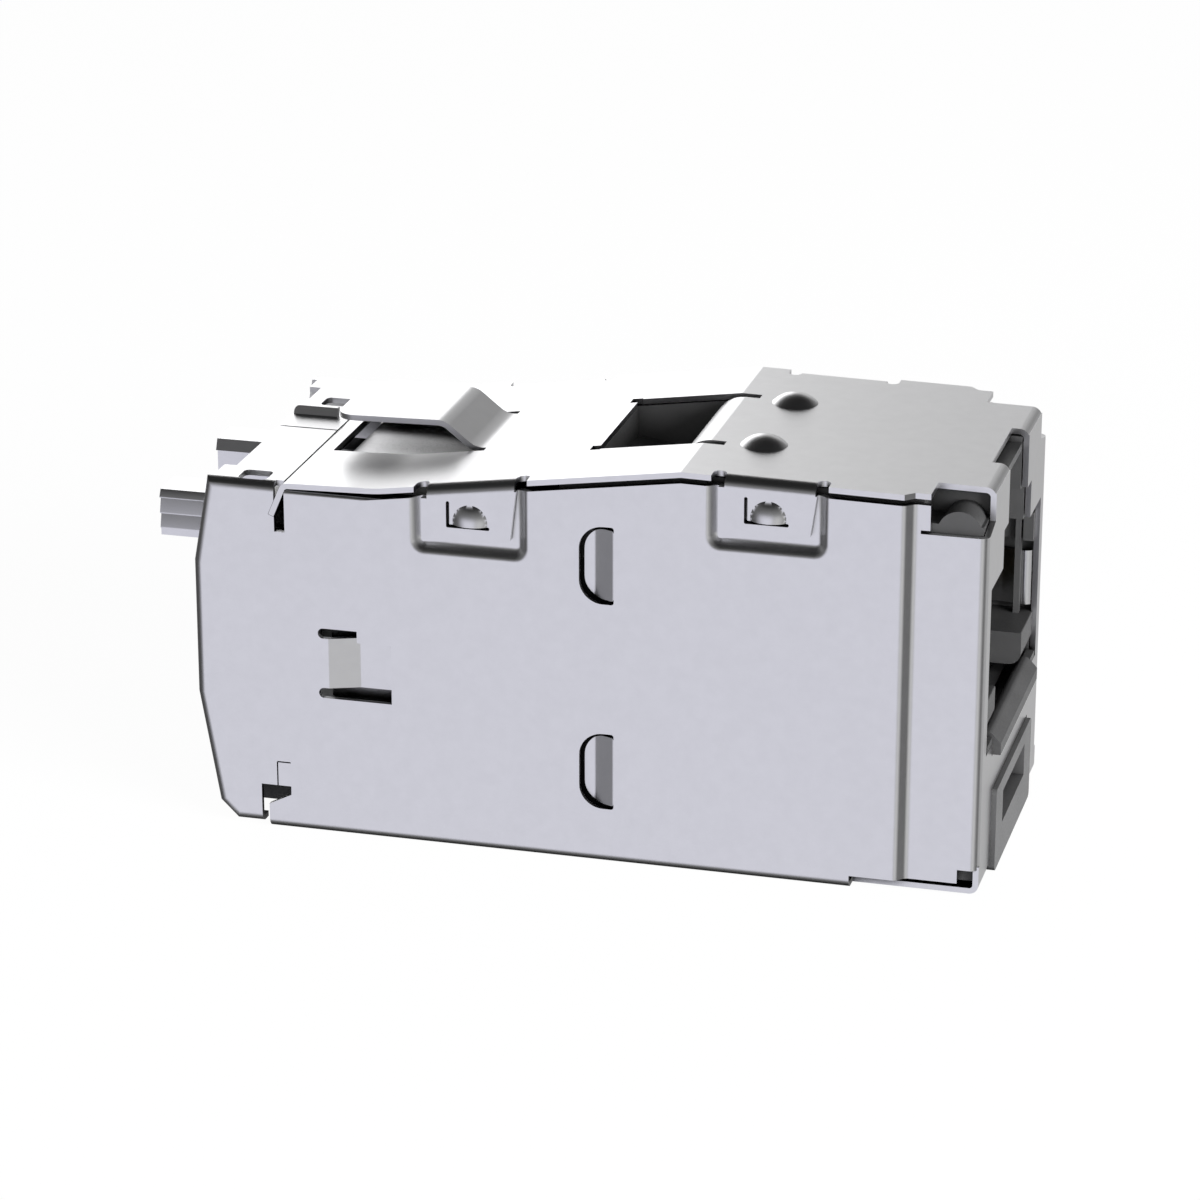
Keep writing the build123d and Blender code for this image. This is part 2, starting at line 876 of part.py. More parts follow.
def port_housing():
    """The moulded front housing: plug cavity, shelf, roof over the board and lower window frame."""
    front_x = face_x - sheet - housing_front_gap
    body = outline(
        [
            (housing_neck_x, housing_foot_z[0]),
            (floor_end_x - 0.1, housing_foot_z[0]),
            (floor_end_x - 0.1, housing_foot_z[1]),
            (front_x, housing_foot_z[1]),
            under_plate(front_x, housing_top_gap),
            under_plate(knee_front[0], housing_top_gap),
            under_plate(housing_back_x, housing_top_gap),
            (housing_back_x, housing_roof_z),
            (housing_neck_x, housing_roof_z),
        ]
    )
    solid = side_slab(body, -inner_half, inner_half)
    half = port_half - cavity_clear
    cavity = [
        (-half, cavity_floor_z),
        (half, cavity_floor_z),
        (half, port_top_z - cavity_clear),
        (step_half - cavity_clear, port_top_z - cavity_clear),
        (step_half - cavity_clear, step_top_z - cavity_clear),
        (-step_half + cavity_clear, step_top_z - cavity_clear),
        (-step_half + cavity_clear, port_top_z - cavity_clear),
        (-half, port_top_z - cavity_clear),
    ]
    solid -= front_slab(outline(cavity), cavity_back_x, face_x)
    keyway = latch_half - cavity_clear
    solid -= block((latch_room_x, face_x), (-keyway, keyway), (step_top_z - 1, latch_roof_z))
    solid -= block((latch_back_x - bend, face_x), (-latch_half, latch_half), (latch_strip_z, BIG))
    solid -= latch_pocket()
    solid -= comb_room()
    corner = block((corner_x - 0.35, BIG), (-BIG, -corner_half + 0.5), (corner_floor_z, BIG))
    rib = Pos(corner_x + 1.15, -inner_half, corner_floor_z - rib_drop) * Rot(X=-90) * Cylinder(
        rib_radius, inner_half - corner_half + 0.5, align=(Align.CENTER, Align.CENTER, Align.MIN)
    )
    corner -= rib
    ground = block(
        (ground_front_x - ground_length - slit, face_x),
        (-half - ground_room, -half),
        (ground_z[0] - ground_gap_z[0], ground_z[1] + ground_gap_z[1]),
    )
    for cut in both_sides(corner + ground):
        solid -= cut
    cheek = outline(
        [
            (cheek_x - cheek_length, cheek_z[0]),
            (cheek_x, cheek_z[0]),
            (cheek_x, cheek_z[1]),
            (cheek_x - cheek_length, cheek_z[1]),
        ],
        [0.05, cheek_round, 0.05, 0.05],
    )
    seat = -half - cavity_clear / 2
    inside = side_slab(cheek, seat, -cheek_half)
    pillar_z = cheek_z[1] - slit, port_top_z - cavity_clear / 2
    inside += block(pillar_x, (seat, -half + pillar_out), pillar_z)
    inside += block(stop_x, (seat, -half + pillar_out), stop_z)
    lug_z = port_floor_z + slit / 4, shelf_lug_z
    inside += block((face_x - sheet - slit, face_x), (-shelf_lug_y[1], -shelf_lug_y[0]), lug_z)
    channel_x = bead_x[0] - channel_length, BIG
    solid -= block(channel_x, (-shelf_half, shelf_half), (channel_z, cavity_floor_z + 1))
    for piece in both_sides(inside):
        solid += piece
    shelf = outline(
        [
            (bead_x[0] - bend, shelf_z[0]),
            (shelf_x, shelf_z[0]),
            (shelf_x, shelf_z[1]),
            (bead_x[1], bead_z),
            (bead_x[0], bead_z),
            (bead_x[0], channel_z),
            (bead_x[0] - bend, channel_z),
        ],
        [0.02, 0.02, 0.02, bead_radius, bead_radius, 0.02, 0.02],
    )
    solid += side_slab(shelf, -shelf_half, shelf_half)
    solid -= block(
        (front_x - frame_depth, BIG),
        (-frame_half - frame_fit, frame_half + frame_fit),
        (frame_body_z - frame_fit, frame_z[1] + frame_fit),
    )
    return solid


def latch_pocket():
    """The pocket in the roof under the latch window: a sloping floor and a deeper well for the flap."""
    back_x = latch_window_x[0] - slit
    front_x = latch_slot_end + slit
    top = plate_height(knee_front[0]) + 1
    profile = outline(
        [
            (back_x, pocket_floor_z[0]),
            (pocket_well_x, pocket_floor_z[1]),
            (pocket_well_x, pocket_well_z),
            (front_x, pocket_well_z),
            (front_x, top),
            (back_x, top),
        ]
    )
    half = latch_window_half + slit
    return side_slab(profile, -half, half)


def comb_room():
    """Room under the cavity for the comb and through its floor for the contacts."""
    width = contact_count * contact_pitch + 0.4
    floor = block(
        (contact_tip_x - 0.6, contact_front_x + 0.5),
        (-width / 2, width / 2),
        (comb_top_z, cavity_floor_z + 1),
    )
    room = block(
        (cavity_back_x - 1.5, contact_front_x + 0.5),
        (-width / 2 - 0.5, width / 2 + 0.5),
        (comb_foot_z - comb_gap, comb_top_z + comb_gap),
    )
    return floor + room


def contact_y(index):
    """Sideways place of a spring contact, counted from the near side."""
    return (index - (contact_count - 1) / 2) * contact_pitch


def spring_contact(index):
    """One spring contact: a tail through the board, a run in the comb and the sprung arm."""
    y = contact_y(index)
    half = contact_width / 2
    lane = contact_bend_z
    points = [
        (board_x[0], lane),
        (contact_front_x, lane),
        (contact_front_x - 0.15, comb_top_z + 0.45),
        (contact_tip_x, contact_tip_z),
        (contact_tip_x - 0.7, contact_tip_z - 0.8),
    ]
    strip = band(points, [0.35, 0.35, 0.35], contact_thick, Side.LEFT)
    return side_slab(strip, y - half, y + half)


def contact_comb():
    """The moulded comb that carries the eight spring contacts under the cavity."""
    width = contact_count * contact_pitch + 0.8
    comb = block(
        (cavity_back_x - 1.4, contact_front_x + 0.45),
        (-width / 2, width / 2),
        (comb_foot_z, comb_top_z),
    )
    for index in range(contact_count):
        y = contact_y(index)
        half = contact_width / 2 + comb_gap / 2
        groove = block(
            (cavity_back_x - 2, contact_front_x + comb_gap),
            (y - half, y + half),
            (contact_bend_z - comb_gap, comb_top_z + 1),
        )
        comb -= groove
    return comb


def ground_spring():
    """The bowed side spring that touches a shielded plug, near side."""
    half = port_half - cavity_clear
    seat = -half - ground_room + slit / 2
    crest_x = ground_front_x - ground_tip_run
    points = [
        (ground_front_x - ground_length, seat),
        (crest_x - ground_ramp, seat),
        (crest_x, seat + ground_rise),
        (ground_front_x, seat + ground_rise - ground_tip),
    ]
    return plan_slab(band(points, [0.6, 0.3], ground_thick, Side.LEFT), *ground_z)


def window_frame():
    """The frame with a slot that fills the lower window of the face."""
    front_x = face_x + frame_out
    back_x = face_x - sheet - housing_front_gap - frame_depth + frame_fit
    collar = block((face_x - sheet, front_x), (-frame_half, frame_half), frame_z)
    collar = fillet(collar.edges().filter_by(Axis.X), frame_corner)
    body = block((back_x, face_x - sheet), (-frame_half, frame_half), (frame_body_z, frame_z[1]))
    body = fillet(body.edges().filter_by(Axis.X), frame_corner)
    slot = block((front_x - frame_slot_depth, BIG), (-frame_slot_half, frame_slot_half), frame_slot_z)
    return collar + body - slot


def fork_y(index):
    """Sideways place of a forked terminal in its row of four."""
    return (index % 4 - 1.5) * fork_pitch


def fork_z(index):
    """Height of a forked terminal: four in the lower row, four in the upper one."""
    return fork_rows_z[index // 4]


def forked_terminal(index):
    """One flat forked terminal: a pin in the board, a shank and two tines round a slot."""
    y = fork_y(index)
    z = fork_z(index)
    half = fork_width / 2
    thin = fork_thick / 2
    back_x = board_x[0]
    tines = block((fork_mouth_x, back_x), (y - thin, y + thin), (z - half, z + half))
    slot = outline(
        [
            (fork_mouth_x - 0.1, z - fork_slot / 2 - 0.3),
            (fork_mouth_x + 0.6, z - fork_slot / 2),
            (fork_mouth_x + wire_slot_depth, z - fork_slot / 2),
            (fork_mouth_x + wire_slot_depth, z + fork_slot / 2),
            (fork_mouth_x + 0.6, z + fork_slot / 2),
            (fork_mouth_x - 0.1, z + fork_slot / 2 + 0.3),
        ]
    )
    pin_x = back_x, board_x[1] + fork_pin_out
    pin = block(pin_x, (y - thin, y + thin), (z - fork_pin / 2, z + fork_pin / 2))
    return tines + pin - side_slab(slot, y - 1, y + 1)


def circuit_board():
    """The upright board between the spring contacts and the forked terminals."""
    board = block(board_x, (-board_half, board_half), board_z)
    for index in range(contact_count):
        y = contact_y(index)
        half = contact_width / 2 + 0.03
        board -= block(
            (board_x[0] - 1, board_x[1] + 1),
            (y - half, y + half),
            (contact_bend_z - 0.03, contact_bend_z + contact_thick + 0.03),
        )
        y = fork_y(index)
        z = fork_z(index)
        board -= block(
            (board_x[0] - 1, board_x[1] + 1),
            (y - fork_thick / 2 - 0.03, y + fork_thick / 2 + 0.03),
            (z - fork_pin / 2 - 0.03, z + fork_pin / 2 + 0.03),
        )
    return board


def terminal_block():
    """The moulded block that holds the forked terminals, with a wire slot across each one."""
    body = block(block_x, (-block_half, block_half), block_z)
    for index in range(contact_count):
        y = fork_y(index)
        z = fork_z(index)
        thin = fork_thick / 2 + fork_well / 2
        half = fork_width / 2 + fork_well / 2
        body -= block((fork_mouth_x - fork_well, BIG), (y - thin, y + thin), (z - half, z + half))
        body -= block(
            (-BIG, block_x[0] + wire_slot_depth),
            (y - fork_pitch / 2 + 0.35, y + fork_pitch / 2 - 0.35),
            (z - wire_slot / 2, z + wire_slot / 2),
        )
    hollow = block((-BIG, block_x[1] - 1.2), (-block_half + 1.2, block_half - 1.2), hollow_z)
    return body - hollow


def wire_manager():
    """The moulded manager that leads eight wires from the cable to the terminals."""
    half = inner_half - cap_wall - manager_clear
    low = cap_foot_z + cap_wall + manager_clear
    high = cap_top_z - cap_wall - manager_clear
    body = block(manager_x, (-half, half), (low, high))
    body = fillet(body.edges().filter_by(Axis.X), 0.5)
    body -= Pos(manager_x[0] - 1, 0, cable_z) * Rot(Y=90) * Cylinder(
        manager_bore / 2, manager_depth + 1, align=(Align.CENTER, Align.CENTER, Align.MIN)
    )
    for index in range(contact_count):
        y = fork_y(index)
        z = fork_z(index)
        channel = Pos(manager_x[0] + manager_depth - 1.5, y * channel_lean, z) * Rot(Y=90) * Cylinder(
            channel_radius, BIG, align=(Align.CENTER, Align.CENTER, Align.MIN)
        )
        body -= channel
    return body


def rear_cap():
    """The die-cast rear cap: a frame round the manager, a rear wall and two ridged arms."""
    outer = block(cap_x, (-inner_half, inner_half), (cap_foot_z, cap_top_z))
    outer = fillet(outer.edges().filter_by(Axis.X), cap_corner)
    outer += block(
        (cap_x[0] - cap_lip[0], cap_x[0] + cap_lip[0]),
        (-inner_half + cap_corner, inner_half - cap_corner),
        (cap_top_z - cap_lip[1], cap_top_z),
    )
    inner = block(
        (cap_x[0] + cap_rear_wall, BIG),
        (-inner_half + cap_wall, inner_half - cap_wall),
        (cap_foot_z + cap_wall, cap_top_z - cap_wall),
    )
    solid = outer - inner
    solid -= Pos(cap_x[0] - 1, 0, cable_z) * Rot(Y=90) * Cylinder(
        cable_bore / 2, cap_rear_wall + 2, align=(Align.CENTER, Align.CENTER, Align.MIN)
    )
    for piece in both_sides(arm()):
        solid += Pos(0, arm_shift, 0) * piece
    recess_floor = tab_z[0] - tab_slot - 0.2, tab_z[1] + tab_slot + 0.2
    pocket = block(
        (cap_x[0] - 1, tab_x[1] + 0.3),
        (-BIG, -body_half + tab_depth + sheet + 0.15),
        recess_floor,
    )
    for cut in both_sides(pocket):
        solid -= cut
    return solid


def arm():
    """The near arm of the rear cap: ridged outside, with a sloping band along its inner top."""
    outer, inner = -arm_y[1], -arm_y[0]
    under = inner - arm_band[0]
    foot = arm_z[1] - arm_band[1]
    points = [(under, arm_z[1]), (inner, foot), (under, foot), (under, arm_z[0]), (outer, arm_z[0])]
    z = arm_z[1] - sum(ridge_heights)
    points.append((outer, z))
    for height in reversed(ridge_heights):
        points.append((outer - ridge_step / 2, z))
        points.append((outer - ridge_step / 2, z + ridge_lip))
        z += height
        points.append((outer + ridge_step / 2, z))
    return front_slab(outline(points), arm_end_x, cap_x[0] + cap_rear_wall / 2)


def cable_cradle():
    """The moulded cradle that the cable lies in, with gripping ribs across it."""
    body = block(cradle_x, (-cradle_half, cradle_half), cradle_z)
    groove = Pos(cradle_x[0] - 1, 0, cable_z) * Rot(Y=90) * Cylinder(
        cable_bore / 2, BIG, align=(Align.CENTER, Align.CENTER, Align.MIN)
    )
    body -= groove
    pitch = (cradle_x[1] - cradle_x[0]) / cradle_rib_count
    for index in range(cradle_rib_count):
        x = cradle_x[0] + pitch * (index + 0.5)
        ring = Pos(x, 0, cable_z) * Rot(Y=90) * Cylinder(cable_bore / 2 + 0.1, cradle_rib)
        ring -= Pos(x, 0, cable_z) * Rot(Y=90) * Cylinder(cable_bore / 2 - cradle_rib, 1)
        body += ring & block((-BIG, BIG), (-cradle_half, cradle_half), cradle_z)
    clear = cradle_z[0], cradle_z[0] + toe_clear
    for cut in both_sides(block((-BIG, toe_notch[1][0] + 0.1), (-BIG, -cradle_half + 0.6), clear)):
        body -= cut
    return body


def build():
    """All pieces of the jack by name."""
    parts = {
        "shield_shell": shield_shell(),
        "port_housing": port_housing(),
        "contact_comb": contact_comb(),
        "window_frame": window_frame(),
        "circuit_board": circuit_board(),
        "terminal_block": terminal_block(),
        "wire_manager": wire_manager(),
        "rear_cap": rear_cap(),
        "cable_cradle": cable_cradle(),
    }
    for name, spring in zip(("near", "far"), both_sides(ground_spring())):
        parts[f"ground_spring_{name}"] = spring
    for index in range(contact_count):
        parts[f"spring_contact_{index + 1}"] = spring_contact(index)
        parts[f"forked_terminal_{index + 1}"] = forked_terminal(index)
    return parts


if __name__ == "__main__":
    os.makedirs("parts", exist_ok=True)
    for name, piece in build().items():
        export_step(Pos(-middle_x, 0, 0) * piece, f"parts/{name}.step")
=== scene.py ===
# %% [markdown]
# # A shielded keystone jack in a white studio
# The jack's solids arrive already packed and stay where they are. This file gives them smooth bends,
# metal and plastic finishes, a camera at the photograph's place, and the soft light of a small studio.

import math

import bpy
import numpy as np
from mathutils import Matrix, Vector


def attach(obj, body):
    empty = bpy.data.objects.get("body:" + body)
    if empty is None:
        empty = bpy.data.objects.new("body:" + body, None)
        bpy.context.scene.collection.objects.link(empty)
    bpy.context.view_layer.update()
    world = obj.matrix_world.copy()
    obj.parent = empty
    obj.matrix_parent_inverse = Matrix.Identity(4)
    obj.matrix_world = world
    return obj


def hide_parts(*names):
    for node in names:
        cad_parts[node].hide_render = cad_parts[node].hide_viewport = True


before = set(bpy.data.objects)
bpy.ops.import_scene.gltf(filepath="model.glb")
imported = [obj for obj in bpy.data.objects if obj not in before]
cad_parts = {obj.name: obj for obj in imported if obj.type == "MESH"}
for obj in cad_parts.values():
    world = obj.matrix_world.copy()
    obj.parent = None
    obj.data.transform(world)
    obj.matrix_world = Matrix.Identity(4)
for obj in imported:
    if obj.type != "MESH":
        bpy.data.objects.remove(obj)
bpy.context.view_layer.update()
print("packed nodes:", len(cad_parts))

# %% [markdown]
# ## The camera
# The photograph was taken with a long lens from a little above, turned a little towards the plug face.
# Its place was solved from straight edges of the jack. A camera looks along its own -Z, so a quaternion
# that tracks -Z onto the line of sight aims it.

# %% Aim the camera
AZIMUTH, ELEVATION = math.radians(14.9277), math.radians(20.2513)
DISTANCE = 0.1912533
TARGET = Vector((-0.0000629, -0.00020, 0.0092732))
SENSOR, FOCAL_PIXELS, IMAGE_WIDTH = 36.0, 4317.28, 1200

back = Vector(
    (
        math.sin(AZIMUTH) * math.cos(ELEVATION),
        -math.cos(AZIMUTH) * math.cos(ELEVATION),
        math.sin(ELEVATION),
    )
)
camera = bpy.data.objects.new("camera", bpy.data.cameras.new("camera"))
bpy.context.scene.collection.objects.link(camera)
camera.data.sensor_width = SENSOR
camera.data.lens = FOCAL_PIXELS * SENSOR / IMAGE_WIDTH
camera.data.clip_start, camera.data.clip_end = 0.01, 10.0
camera.location = TARGET + back * DISTANCE
camera.rotation_mode = "QUATERNION"
camera.rotation_quaternion = (-back).to_track_quat("-Z", "Y")
bpy.context.scene.camera = camera
bpy.context.scene.view_settings.view_transform = "Standard"
print("lens in mm:", round(camera.data.lens, 2))


# %% [markdown]
# ## Smooth bends
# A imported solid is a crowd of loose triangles, so a bend in the sheet would show its facets. A welded copy
# gets one normal for each corner of each triangle: the mean of the faces round that point that turn away
# by less than the crease angle, weighted by the size of the flat that they belong to and by their corner.
# A wall then stays flat up to its edge, and the bend beside it shades smoothly. The shape is the same.
#
# Faces share a plane when their normals agree to one part in 500 and their heights to 5 micrometres.

# %% Copy a node with welded corners
CREASE = math.radians(38)
NORMAL_STEPS = 500
HEIGHT_STEPS = 2e5
POINT_STEPS = 1e7
TINY = 1e-30


def corner_normals(points, faces):
    """One unit normal for each corner of each triangle.

    A face's weight at a point is the whole area of the faces in its plane times its angle there. A corner
    adds up the weighted normals of all the faces at its point whose own normal is within the crease angle.
    """
    corners = points[faces]
    cross = np.cross(corners[:, 1] - corners[:, 0], corners[:, 2] - corners[:, 0])
    double_area = np.linalg.norm(cross, axis=1)
    normals = cross / np.maximum(double_area, TINY)[:, None]
    height = np.einsum("ij,ij->i", normals, corners[:, 0])
    plane = np.column_stack((np.round(normals * NORMAL_STEPS), np.round(height * HEIGHT_STEPS)[:, None]))
    _, group = np.unique(plane.astype(np.int64), axis=0, return_inverse=True)
    flat_area = np.bincount(group.ravel(), weights=double_area)[group.ravel()]
    weight = np.empty(faces.shape)
    for k in range(3):
        one = corners[:, (k + 1) % 3] - corners[:, k]
        two = corners[:, (k + 2) % 3] - corners[:, k]
        lengths = np.linalg.norm(one, axis=1) * np.linalg.norm(two, axis=1)
        cosine = np.einsum("ij,ij->i", one, two) / np.maximum(lengths, TINY)
        weight[:, k] = np.arccos(np.clip(cosine, -1, 1)) * flat_area
    owner = faces.ravel()
    order = np.argsort(owner, kind="stable")
    counts = np.bincount(owner, minlength=len(points))
    starts = np.concatenate(([0], np.cumsum(counts)[:-1]))
    size = counts[owner]
    mine = np.repeat(np.arange(len(owner)), size)
    step = np.arange(len(mine)) - np.repeat(np.cumsum(size) - size, size)
    other = order[np.repeat(starts[owner], size) + step]
    face_of = np.repeat(np.arange(len(faces)), 3)
    near = np.einsum("ij,ij->i", normals[face_of[mine]], normals[face_of[other]]) > math.cos(CREASE)
    mine, other = mine[near], other[near]
    share = normals[face_of[other]] * weight.ravel()[other][:, None]
    sums = [np.bincount(mine, weights=share[:, axis], minlength=len(owner)) for axis in range(3)]
    total = np.stack(sums, axis=1)
    length = np.linalg.norm(total, axis=1)
    return np.where(length[:, None] > TINY, total / np.maximum(length, TINY)[:, None], normals[face_of])


def welded(node, name):
    """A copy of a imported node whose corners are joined.

    Each corner is rounded to a tenth of a micrometre, and corners that round to the same place become
    one point. Triangles that lose a side in this are dropped.
    """
    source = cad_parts[node].data
    points = np.empty(len(source.vertices) * 3)
    source.vertices.foreach_get("co", points)
    points = points.reshape(-1, 3)
    faces = np.empty(len(source.polygons) * 3, dtype=int)
    source.polygons.foreach_get("vertices", faces)
    _, first, place = np.unique(
        np.round(points * POINT_STEPS).astype(np.int64), axis=0, return_index=True, return_inverse=True
    )
    faces = place.ravel()[faces].reshape(-1, 3)
    whole = (faces[:, 0] != faces[:, 1]) & (faces[:, 1] != faces[:, 2]) & (faces[:, 2] != faces[:, 0])
    faces = faces[whole]
    mesh = bpy.data.meshes.new(name)
    mesh.from_pydata(points[first].tolist(), [], faces.tolist())
    mesh.shade_smooth()
    mesh.normals_split_custom_set(corner_normals(points[first], faces).tolist())
    piece = bpy.data.objects.new(name, mesh)
    bpy.context.scene.collection.objects.link(piece)
    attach(piece, "root")
    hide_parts(node)
    print(name, len(mesh.vertices), "points,", len(mesh.polygons), "triangles")
    return piece


# %% [markdown]
# ## A short way to write materials
# Every finish here is a few nodes that read Object coordinates, so that its grain is fixed to the piece.
# The first helper adds a node, sets its sockets and links the ones that are given another node's output.
# Slits and hollows get painted shade: their colour is darkened by how much of the space around a point is
# closed off, near it and further off.


# %% Node helpers
# Painted shade in slits and in hollows: each is a reach in metres, and the open shares at which it is
# darkest and at which it ends.
SLIT_SHADE = (0.0008, 0.05, 0.38)
HOLLOW_SHADE = (0.007, 0.14, 0.46)
SHADE_SAMPLES = 16
NOISE_RANGE = (0.3, 0.7)
NOISE_DETAIL = 3.0


def add(tree, kind, settings=None, **sockets):
    """One shader node, with its settings, and its sockets set to values or linked to outputs."""
    made = tree.nodes.new(kind)
    for key, value in (settings or {}).items():
        setattr(made, key, value)
    for key, value in sockets.items():
        socket = made.inputs[int(key[1:]) if key[1:].isdigit() else key.replace("_", " ")]
        if isinstance(value, bpy.types.NodeSocket):
            tree.links.new(value, socket)
        else:
            socket.default_value = value
    return made


def finish_named(name):
    """An empty material with its Principled shader, its tree and its Object coordinates."""
    material = bpy.data.materials.new(name)
    material.use_nodes = True
    tree = material.node_tree
    shader = tree.nodes["Principled BSDF"]
    place = tree.nodes.new("ShaderNodeTexCoord").outputs["Object"]
    return material, tree, shader, place


def grain(tree, place, scale, low, high):
    """A number that varies between low and high with a fine noise."""
    noise = add(tree, "ShaderNodeTexNoise", Vector=place, Scale=scale, Detail=NOISE_DETAIL)
    spread = add(
        tree,
        "ShaderNodeMapRange",
        Value=noise.outputs["Fac"],
        From_Min=NOISE_RANGE[0],
        From_Max=NOISE_RANGE[1],
        To_Min=low,
        To_Max=high,
    )
    return spread.outputs["Result"]


def painted_hollow_shade(tree, floor):
    """A painted shade: a factor that falls from 1 to a floor in a slit, and in a hollow that little sky
    reaches.

    Each of the two has a reach in metres, and the open shares at which it is darkest and at which it ends.
    """
    factors = []
    for reach, dark, light in (SLIT_SHADE, HOLLOW_SHADE):
        painted_shade = add(tree, "ShaderNodeAmbientOcclusion", {"samples": SHADE_SAMPLES}, Distance=reach)
        spread = add(
            tree,
            "ShaderNodeMapRange",
            {"interpolation_type": "SMOOTHSTEP"},
            Value=painted_shade.outputs["AO"],
            From_Min=dark,
            From_Max=light,
            To_Min=floor,
            To_Max=1.0,
        )
        factors.append(spread.outputs["Result"])
    both = add(tree, "ShaderNodeMath", {"operation": "MULTIPLY"}, _0=factors[0], _1=factors[1])
    return both.outputs[0]


def darkened(tree, color, factor):
    """A colour socket times a factor socket."""
    grey = add(tree, "ShaderNodeCombineColor", Red=factor, Green=factor, Blue=factor)
    product = add(tree, "ShaderNodeMix", {"data_type": "RGBA", "blend_type": "MULTIPLY"}, Factor=1.0)
    tree.links.new(color, product.inputs[6])
    tree.links.new(grey.outputs[0], product.inputs[7])
    return product.outputs[2]


def bump(tree, shader, height, strength, distance):
    """Feeds a height into the shader's normal."""
    made = add(tree, "ShaderNodeBump", Height=height, Strength=strength, Distance=distance)
    tree.links.new(made.outputs["Normal"], shader.inputs["Normal"])


# %% [markdown]
# ## Plated sheet
# The shield is tin-plated steel strip. It is a true metal, so its colour comes from what it reflects,
# and a moderate roughness softens them; in slits and hollows its colour is darkened to black as painted
# shade. A fine noise in roughness and height gives the faint grain that the strip has from rolling.


# %% Metal finishes
METAL_SPREAD = 0.02
METAL_BUMP = (0.02, 2e-6)
METAL_TONE = 0.97
METAL_DRIFT = 8


def metal(name, color, roughness, scale):
    """A metal whose roughness and height vary with a fine grain, whose tone varies slightly, and whose
    colour carries painted shade in slits and hollows.
    """
    material, tree, shader, place = finish_named(name)
    shader.inputs["Metallic"].default_value = 1.0
    tone = grain(tree, place, scale / METAL_DRIFT, 0.0, 1.0)
    shades = add(tree, "ShaderNodeMix", {"data_type": "RGBA"}, Factor=tone)
    shades.inputs[6].default_value = [METAL_TONE * channel for channel in color] + [1.0]
    shades.inputs[7].default_value = list(color) + [1.0]
    # Painted shade: the colour falls to black in slits and hollows.
    painted_shade = painted_hollow_shade(tree, 0.0)
    tree.links.new(darkened(tree, shades.outputs[2], painted_shade), shader.inputs["Base Color"])
    rough = grain(tree, place, scale, roughness - METAL_SPREAD, roughness + METAL_SPREAD)
    tree.links.new(rough, shader.inputs["Roughness"])
    bump(tree, shader, grain(tree, place, scale, 0.0, 1.0), *METAL_BUMP)
    return material


plated_sheet = metal("plated_sheet", (0.92, 0.92, 0.93), 0.33, 14000)
cast_zinc = metal("cast_zinc", (0.86, 0.86, 0.88), 0.30, 9000)
spring_steel = metal("spring_steel", (0.84, 0.84, 0.85), 0.25, 16000)
gold_plate = metal("gold_plate", (0.94, 0.76, 0.42), 0.22, 16000)
tin_plate = metal("tin_plate", (0.82, 0.82, 0.82), 0.28, 16000)
print("metal finishes made")


# %% [markdown]
# ## Moulded plastic
# The housing, the comb and the blocks are dark glass-filled plastic with a fine spark-eroded skin. That
# skin is a small bump with an even, middling roughness, and the colour drifts a little with flow.
# Slits and hollows carry painted shade, down to 0.3 of the colour.


# %% Plastic finishes
PLASTIC_SPREAD = 0.05
PLASTIC_BUMP = (0.15, 4e-6)
PLASTIC_DRIFT = 20
# The darkest share of the plastic's painted shade.
PLASTIC_SHADE_FLOOR = 0.30


def moulded(name, dark, light, roughness, scale):
    """A moulded plastic whose colour drifts between two tones under a finely eroded skin, with painted shade
    in slits and hollows.
    """
    material, tree, shader, place = finish_named(name)
    tone = grain(tree, place, scale / PLASTIC_DRIFT, 0.0, 1.0)
    shades = add(tree, "ShaderNodeMix", {"data_type": "RGBA"}, Factor=tone)
    shades.inputs[6].default_value = (*dark, 1.0)
    shades.inputs[7].default_value = (*light, 1.0)
    # Painted shade: the colour falls to 0.3 of itself in slits and hollows.
    painted_shade = painted_hollow_shade(tree, PLASTIC_SHADE_FLOOR)
    tree.links.new(darkened(tree, shades.outputs[2], painted_shade), shader.inputs["Base Color"])
    rough = grain(tree, place, scale, roughness - PLASTIC_SPREAD, roughness + PLASTIC_SPREAD)
    tree.links.new(rough, shader.inputs["Roughness"])
    bump(tree, shader, grain(tree, place, scale, 0.0, 1.0), *PLASTIC_BUMP)
    return material


housing_plastic = moulded("housing_plastic", (0.055, 0.055, 0.056), (0.070, 0.070, 0.071), 0.42, 9000)
frame_plastic = moulded("frame_plastic", (0.10, 0.10, 0.102), (0.115, 0.115, 0.117), 0.45, 9000)
block_plastic = moulded("block_plastic", (0.055, 0.055, 0.058), (0.075, 0.075, 0.078), 0.50, 9000)
cradle_plastic = moulded("cradle_plastic", (0.16, 0.16, 0.165), (0.19, 0.19, 0.195), 0.50, 9000)
solder_mask = moulded("solder_mask", (0.010, 0.045, 0.020), (0.015, 0.060, 0.028), 0.35, 6000)
print("plastic finishes made")


# %% [markdown]
# ## Dress every node
# Curved nodes get a welded copy, and flat ones stay as they are. Both take their finish here.

